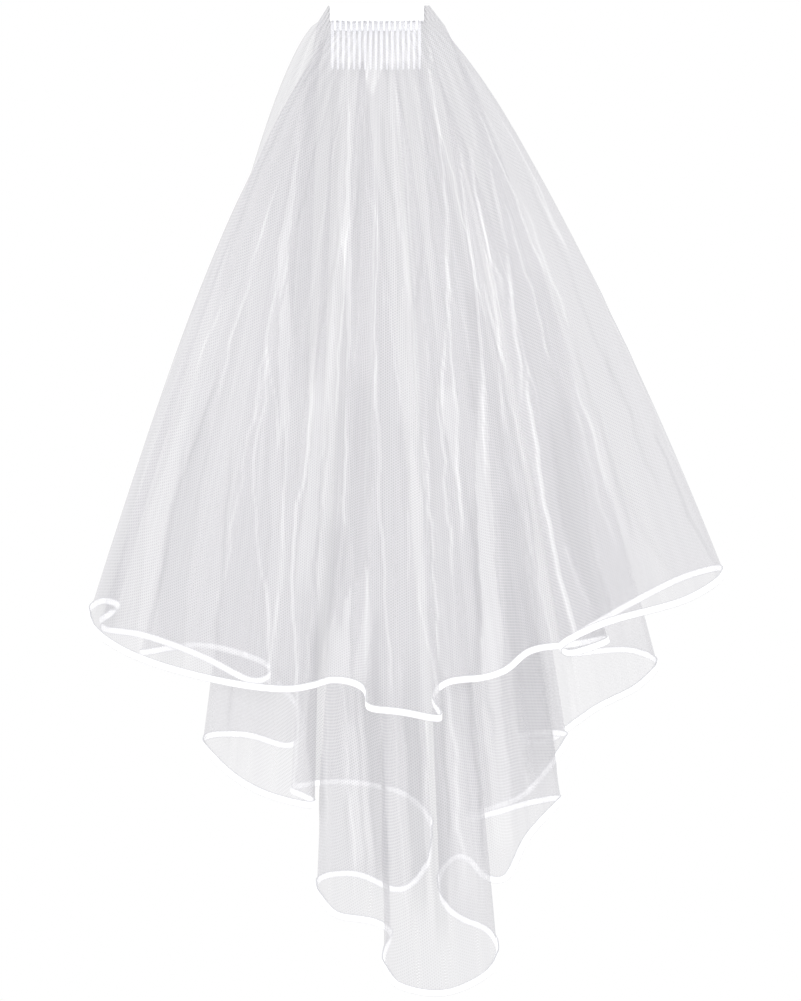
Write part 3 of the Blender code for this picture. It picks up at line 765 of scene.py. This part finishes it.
def addHemRibbon(tier, hemRow, upperRow):
    up, out = hemFrame(hemRow, upperRow)
    run = cumulativeLength(hemRow)
    chance = np.random.default_rng(tier["seed"] + 1)
    phases = chance.uniform(-hemRibbon["phaseRange"], hemRibbon["phaseRange"], hemRibbon["phases"])
    phase = np.interp(run, np.linspace(0.0, run[-1], hemRibbon["phases"]), phases)
    pucker = hemRibbon["pucker"] * np.sin(2.0 * math.pi * run / hemRibbon["puckerEvery"] + phase)
    half = hemRibbon["section"]
    section = [*half] + [(-outward, upward) for outward, upward in half[:0:-1]]
    rings = []
    for outward, upward in section:
        share = max(upward, 0.0) * mm / hemRibbon["width"]
        shift = (pucker * share)[:, None]
        rings.append(hemRow + out * (outward * mm + shift) + up * upward * mm)
    rings = np.stack(rings, axis=1)
    points, faces = capped(rings)
    sectionRun = cumulativeLength(np.array(section)) * mm
    flat = np.stack(np.broadcast_arrays(run[:, None], sectionRun[None, :]), axis=-1)
    ribbon = skinMesh(tier["name"] + "_hem_ribbon", points, faces, {"cut": flat})
    # painted shade along the ribbon's fold and its woven edges, none on its faces
    foldShade, edgeShade, faceShade = hemRibbon["paintedShade"]
    upwards = np.array(section)[:, 1]
    paintedShade = np.where(upwards > hemRibbon["edgeAbove"], edgeShade, faceShade)
    paintedShade = np.where(upwards < 0.0, foldShade, paintedShade)
    addPointValue(ribbon.data, "paintedShade", np.tile(paintedShade, len(run)))

    paths = []
    every = hemRibbon["stitchEvery"]
    lift = np.array(hemRibbon["stitchLift"])[:, None] * mm
    for middle in np.arange(every, run[-1] - every, every):
        places = middle + stitch["places"] * hemRibbon["stitchLength"]
        base, upWay, outWay = (
            np.stack([np.interp(places, run, field[:, axis]) for axis in range(3)], axis=-1)
            for field in (hemRow, up, out))
        shift = np.interp(places, run, pucker)[:, None] * hemRibbon["stitchUp"] / hemRibbon["width"]
        for side in (1.0, -1.0):
            paths.append(base + upWay * hemRibbon["stitchUp"] + outWay * (side * lift + shift))
    radius, sides = hemRibbon["stitchRadius"], hemRibbon["stitchSides"]
    stitches = joinedTubes(tier["name"] + "_hem_stitches", paths, radius, sides)
    return ribbon, stitches


def addTier(tier, folds, node, ribbonNode):
    tulle, hemRow, upperRow, hemLength = tulleSheet(tier, folds)
    settle(tulle, "tulle", netTulle, node)
    # sheer net lets nearly all the light through to the layers and ribbons behind it
    tulle.visible_diffuse = tulle.visible_shadow = False
    ribbon, stitches = addHemRibbon(tier, hemRow, upperRow)
    settle(ribbon, "satin", ribbonSatin, ribbonNode)
    settle(stitches, "satin", thread)
    print(f"{tulle.name} hung with {len(folds)} folds and a hem of {hemLength:.3f} m, and its ribbon sewn on")
    return tulle, ribbon, stitches


upperPieces = addTier(upperTier, upperFolds, "upper_tier", "upper_ribbon")
lowerPieces = addTier(lowerTier, lowerFolds, "lower_tier", "lower_ribbon")


headBand = {
    "left": -41.5 * mm, "right": 43.0 * mm, "foot": 2.0 * mm, "top": 18.0 * mm,
    "halfDepth": 4.0 * mm, "thickness": 0.8 * mm, "columns": 150, "straightRows": 6, "roundRows": 10,
    "pucker": 0.32 * mm, "puckers": 21,                 # small gathers pull at the band's lower edge, unevenly spaced by chance, and painted shade darkens their hollows and the band's foot
    "phases": 14, "phaseRange": 1.2, "seed": 5,         # unevenly spaced by chance
    "gatherShade": 0.5, "footShade": 0.4,               # and shade it
    "stitchEvery": 4.2 * mm, "stitchUp": 3.2 * mm, "stitchLength": 2.6 * mm, "stitchRadius": 0.22 * mm,
    "stitchLift": (-0.25, 0.12, 0.2, 0.12, -0.25), "stitchFrom": 3.0 * mm, "stitchTo": 2.0 * mm,
    "stitchSides": 6,
}


def bandCourse(inset):
    # the fold's course over the gathered tops, front foot to back foot: forward, up, share of pucker
    half = headBand["halfDepth"] - inset
    springs = headBand["top"] - headBand["halfDepth"]
    rows, turns = headBand["straightRows"], headBand["roundRows"]
    front = [(-half, between(headBand["foot"], springs, i / rows), 1.0 - i / rows) for i in range(rows + 1)]
    over = [(-half * math.cos(math.pi * i / turns), springs + half * math.sin(math.pi * i / turns), 0.0)
            for i in range(1, turns)]
    rear = [(-depth, up, part) for depth, up, part in reversed(front)]
    return front + over + rear


def addHeadBand():
    across = np.linspace(headBand["left"], headBand["right"], headBand["columns"])
    chance = np.random.default_rng(headBand["seed"])
    phases = chance.uniform(-headBand["phaseRange"], headBand["phaseRange"], headBand["phases"])
    phase = np.interp(across, np.linspace(across[0], across[-1], headBand["phases"]), phases)
    span = headBand["right"] - headBand["left"]
    turns = 2.0 * math.pi * headBand["puckers"] * (across - across[0]) / span
    ripple = headBand["pucker"] * np.sin(turns + phase)
    outer, inner = bandCourse(0.0), bandCourse(headBand["thickness"])
    middle = head["line"] - head["curve"] * across ** 2
    rings = []
    for depth, up, part in outer + inner[::-1]:
        forward = middle + depth + ripple * part * (1.0 if depth < 0.0 else -1.0)
        rings.append(np.stack((across, forward, np.full_like(across, up)), axis=-1))
    rings = np.stack(rings, axis=1)
    points, faces = capped(rings)
    faces = faces[:-2]         # the two flat ends are closed along the fold instead
    corners, half = rings.shape[1], rings.shape[1] // 2
    for base, flip in ((0, 1), ((len(across) - 1) * corners, -1)):
        for i in range(half - 1):
            corner = [base + i, base + corners - 1 - i, base + corners - 2 - i, base + i + 1]
            faces.append(corner[::flip])
    lengths = cumulativeLength(np.array([(depth, up) for depth, up, part in outer]))
    sectionRun = np.concatenate((lengths, lengths[::-1]))
    flat = np.stack(np.broadcast_arrays(across[:, None], sectionRun[None, :]), axis=-1)
    band = skinMesh("satin_head_band", points, faces, {"cut": flat})
    parts = np.array([part for depth, up, part in outer + inner[::-1]])
    # painted shade in the gathers' hollows, and along the band's foot
    hollow = easeInOut(0.5 - 0.5 * ripple / headBand["pucker"])[:, None]
    hollow = hollow * parts[None, :] * headBand["gatherShade"]
    addPointValue(band.data, "paintedShade", np.clip(hollow + headBand["footShade"] * (parts == 1.0), 0.0, 1.0))

    paths = []
    start, end = headBand["left"] + headBand["stitchFrom"], headBand["right"] - headBand["stitchTo"]
    lift = np.array(headBand["stitchLift"]) * mm
    for middle in np.arange(start, end, headBand["stitchEvery"]):
        places = middle + stitch["places"] * headBand["stitchLength"]
        wave = np.interp(places, across, ripple)
        up = np.full_like(places, headBand["stitchUp"])
        for side in (-1.0, 1.0):
            out = head["line"] - head["curve"] * places ** 2
            out = out + side * (headBand["halfDepth"] + lift) + side * wave
            paths.append(np.stack((places, out, up), axis=-1))
    stitches = joinedTubes("band_stitches", paths, headBand["stitchRadius"], headBand["stitchSides"])
    return band, stitches


band, bandStitches = addHeadBand()
settle(band, "satin", bandSatin, "head_band")
settle(bandStitches, "satin", thread)
print(f"{band.name} folded over the gathered tops and stitched")


comb = {
    "teeth": 17, "width": 81.0 * mm, "top": 1.6 * mm, "spine": 7.0 * mm, "length": 36.0 * mm,
    "root": 2.7 * mm, "tip": 1.5 * mm, "thickness": 1.6 * mm, "lean": 0.045, "edge": 1.0 * mm,
    "levels": (0.04, 0.12, 0.3, 0.55, 0.8, 0.93, 0.975, 1.0), "endTaper": 0.5,     # down each tooth
}


def combPoint(across, up, back):
    # the comb bends with the head and its teeth lean forward
    drop = max(-up, 0.0)
    return (across, back - head["curve"] * across ** 2 - comb["lean"] * drop, up)


def addComb():
    pitch = (comb["width"] - comb["root"]) / (comb["teeth"] - 1)
    left = -comb["width"] / 2.0 + comb["root"] / 2.0
    spineFoot = comb["top"] - comb["spine"]
    lines = []
    for tooth in range(comb["teeth"]):
        middle = left + pitch * tooth
        lines.extend((middle - comb["root"] / 2.0, middle, middle + comb["root"] / 2.0))
    levels = (comb["top"], comb["top"] - comb["edge"], between(comb["top"], spineFoot, 0.5),
              spineFoot + comb["edge"], spineFoot)
    places, quads = [], []
    for up in levels:
        places.extend((across, up) for across in lines)
    count = len(lines)
    for level in range(len(levels) - 1):
        for i in range(count - 1):
            corner = level * count + i
            quads.append((corner, corner + count, corner + count + 1, corner + 1))
    for tooth in range(comb["teeth"]):
        above = [(len(levels) - 1) * count + tooth * 3 + i for i in range(3)]
        middle = left + pitch * tooth
        for part in comb["levels"]:
            half = between(comb["root"], comb["tip"], part) / 2.0
            if part == 1.0:
                half *= comb["endTaper"]
            row = []
            for side in (-1.0, 0.0, 1.0):
                row.append(len(places))
                places.append((middle + side * half, spineFoot - comb["length"] * part))
            quads.extend((above[i], row[i], row[i + 1], above[i + 1]) for i in range(2))
            above = row
    total = len(places)
    front = [combPoint(across, up, -comb["thickness"] / 2.0) for across, up in places]
    rear = [combPoint(across, up, comb["thickness"] / 2.0) for across, up in places]
    edges = [(quad[i], quad[(i + 1) % 4]) for quad in quads for i in range(4)]
    shared = set(edges)
    rim = [(first, second) for first, second in edges if (second, first) not in shared]
    faces = [list(quad) for quad in quads]
    faces += [[corner + total for corner in quad[::-1]] for quad in quads]
    faces += [[second, first, first + total, second + total] for first, second in rim]
    piece = skinMesh("clear_comb", np.array(front + rear), faces)
    smooth = piece.modifiers.new("moulded_edges", "SUBSURF")
    smooth.levels = smooth.render_levels = 2
    return piece, [left + pitch * (tooth + 0.5) for tooth in range(comb["teeth"] - 1)]


clearComb, combGaps = addComb()
settle(clearComb, "comb_plastic", plastic, "comb")


combThread = {
    "radius": 0.28 * mm, "reach": 1.35 * mm, "upTo": 3.6 * mm, "downTo": -6.1 * mm, "turns": 2,
    "turnStep": 0.7 * mm, "slant": 0.3 * mm, "points": 15, "sides": 6,
}


def addCombThread():
    # thread is passed between the teeth and over the spine, up through the band's foot
    angles = np.linspace(0.0, 2.0 * math.pi, combThread["points"])
    height = (combThread["upTo"] - combThread["downTo"]) / 2.0
    centre = (combThread["upTo"] + combThread["downTo"]) / 2.0
    up = centre + height * np.cos(angles)
    paths = []
    for gap in combGaps:
        for turn in range(combThread["turns"]):
            across = gap + (turn - 0.5) * combThread["turnStep"]
            back = -head["curve"] * across ** 2 + combThread["reach"] * np.sin(angles)
            paths.append(np.stack((across + combThread["slant"] * np.sin(angles), back, up), axis=-1))
    return joinedTubes("comb_thread", paths, combThread["radius"], combThread["sides"])


settle(addCombThread(), "satin", thread)
print(f"{clearComb.name} moulded with {comb['teeth']} teeth and sewn to the band")


# the photo was taken square on, from about 3.5 m: 0.9 mm a pixel where the comb is
view = {"across": 22.0 * mm, "away": 3.5, "up": -429.0 * mm, "lens": 139.8}
cameraData = bpy.data.cameras.new("front_camera")
cameraData.lens = view["lens"]
camera = bpy.data.objects.new("front_camera", cameraData)
camera.location = (view["across"], -view["away"], view["up"])
camera.rotation_euler = (math.radians(90.0), 0.0, 0.0)
bpy.context.scene.collection.objects.link(camera)
bpy.context.scene.camera = camera

# a white sweep, with large soft lights on every side so that white satin is brighter than the sweep
studio = {
    "sky": 1.0, "lightSize": 2.4, "lightAway": 2.9, "lightUp": 0.5, "lightTilt": 72.0,
    # each light's bearing round the veil in degrees, from in front of it, and its power in watts
    "lights": ((-28, 52), (62, 30), (150, 34), (-120, 30)),
    "floorUp": -1.0, "floorRadius": 0.84, "floorAcross": 0.03, "floorBack": 0.08, "floorCorners": 96,
}
world = bpy.data.worlds.new("white_studio")
world.use_nodes = True
world.node_tree.nodes["Background"].inputs["Color"].default_value = (1.0, 1.0, 1.0, 1.0)
world.node_tree.nodes["Background"].inputs["Strength"].default_value = studio["sky"]
bpy.context.scene.world = world
for bearing, power in studio["lights"]:
    lightData = bpy.data.lights.new("soft_light", "AREA")
    lightData.energy = power
    lightData.size = studio["lightSize"]
    light = bpy.data.objects.new("soft_light", lightData)
    turn = math.radians(bearing)
    across, back = studio["lightAway"] * math.sin(turn), -studio["lightAway"] * math.cos(turn)
    light.location = (across, back, studio["lightUp"])
    light.rotation_euler = (math.radians(studio["lightTilt"]), 0.0, turn)
    bpy.context.scene.collection.objects.link(light)

angles = np.linspace(0.0, 2.0 * math.pi, studio["floorCorners"], endpoint=False)
rim = np.stack((studio["floorAcross"] + studio["floorRadius"] * np.cos(angles),
                studio["floorBack"] + studio["floorRadius"] * np.sin(angles),
                np.full_like(angles, studio["floorUp"])), axis=-1)
floor = skinMesh("floor", rim, [list(range(len(rim)))])
floorPaint = newFinish("matt_white_floor", {"Base Color": linear("#DEDEDF"), "Roughness": 0.9})[0]
floor.data.materials.append(floorPaint)

bpy.context.scene.view_settings.view_transform = "Standard"
print(f"studio lit with {len(studio['lights'])} soft lights, and the camera is {view['away']} m away")
